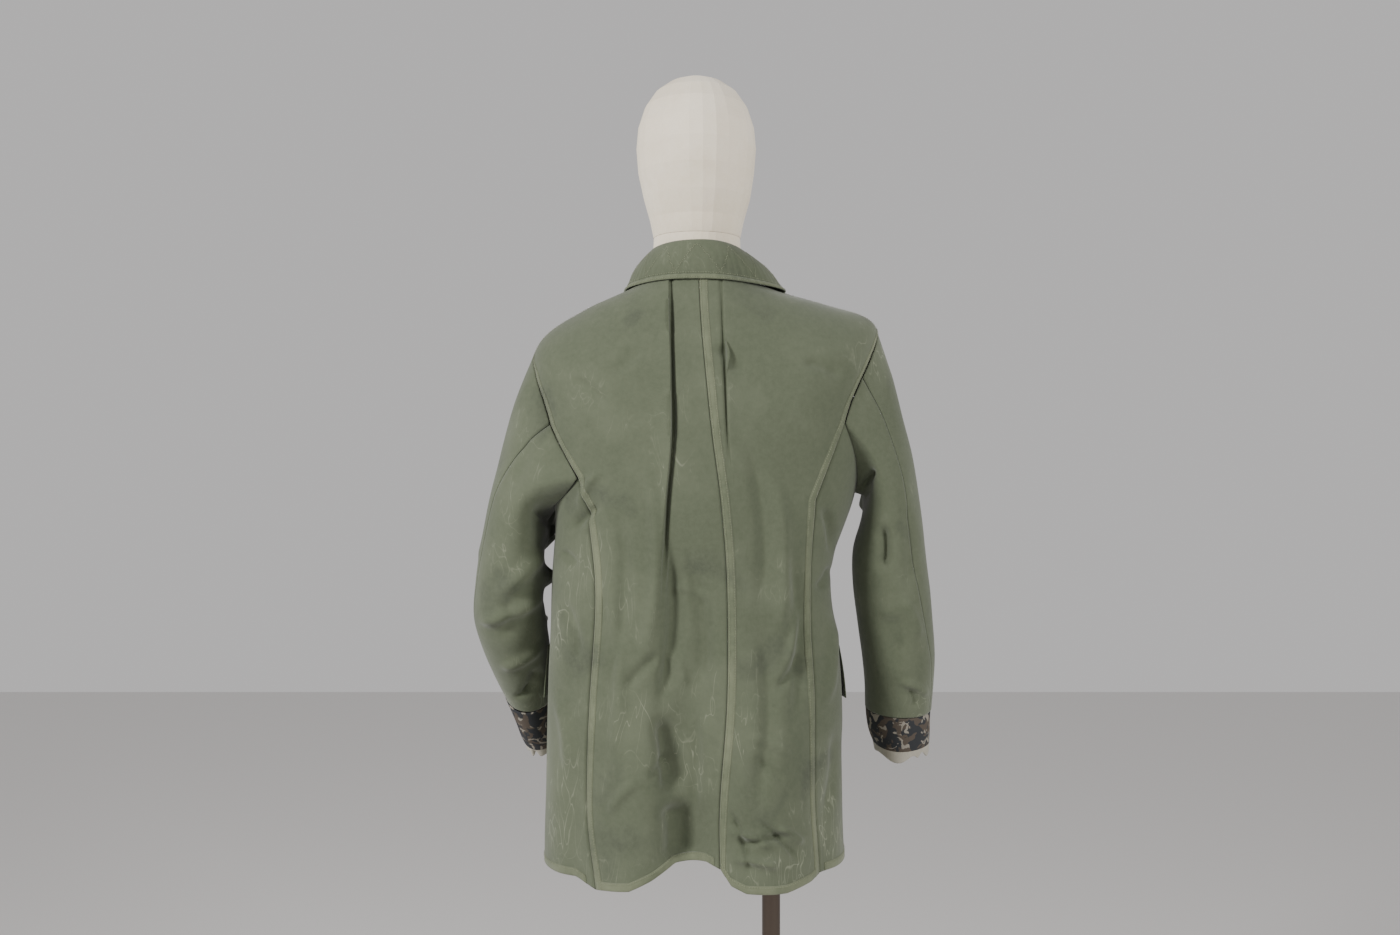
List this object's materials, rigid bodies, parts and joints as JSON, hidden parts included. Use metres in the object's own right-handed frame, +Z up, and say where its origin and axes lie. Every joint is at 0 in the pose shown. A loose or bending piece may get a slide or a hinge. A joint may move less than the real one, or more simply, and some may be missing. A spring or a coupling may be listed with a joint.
{
  "type": "windbreaker on a dress form stand",
  "caption": "Green cotton field jacket with a turned-down collar, pleated back and patterned cuff lining, worn on a linen head-and-torso dress form on a pole stand.",
  "frame": {"origin": "centre of the base plate's flat underside, on the floor", "axes": "+Z up, +Y the way the wearer faces, +X the wearer's right"},
  "size_m": [0.615, 0.38, 1.8],
  "materials": {
    "green_cotton": "matt woven, washed and worn",
    "camouflage_lining": "matt woven print",
    "beige_binding": "matt, raw edge",
    "button": "satin",
    "form_linen": "plain weave",
    "stand_metal": "dark bronze satin"
  },
  "bodies": {
    "root": {"back_left": "green_cotton", "back_right": "green_cotton", "base_plate": "stand_metal", "button_1": "button", "button_2": "button", "button_3": "button", "button_4": "button", "button_5": "button", "collar_fall": "green_cotton", "collar_stand": "green_cotton", "cuff_binding_left": "beige_binding", "cuff_binding_right": "beige_binding", "cuff_lining_left": "camouflage_lining", "cuff_lining_right": "camouflage_lining", "form_head": "form_linen", "form_torso": "form_linen", "front_left": "green_cotton", "front_right": "green_cotton", "pocket_flap_left": "green_cotton", "pocket_flap_right": "green_cotton", "pocket_left": "green_cotton", "pocket_right": "green_cotton", "pole": "stand_metal", "pole_flange": "stand_metal", "pole_socket": "stand_metal", "side_left": "green_cotton", "side_right": "green_cotton", "sleeve_top_left": "green_cotton", "sleeve_top_right": "green_cotton", "sleeve_under_left": "green_cotton", "sleeve_under_right": "green_cotton"}
  },
  "joints": []
}
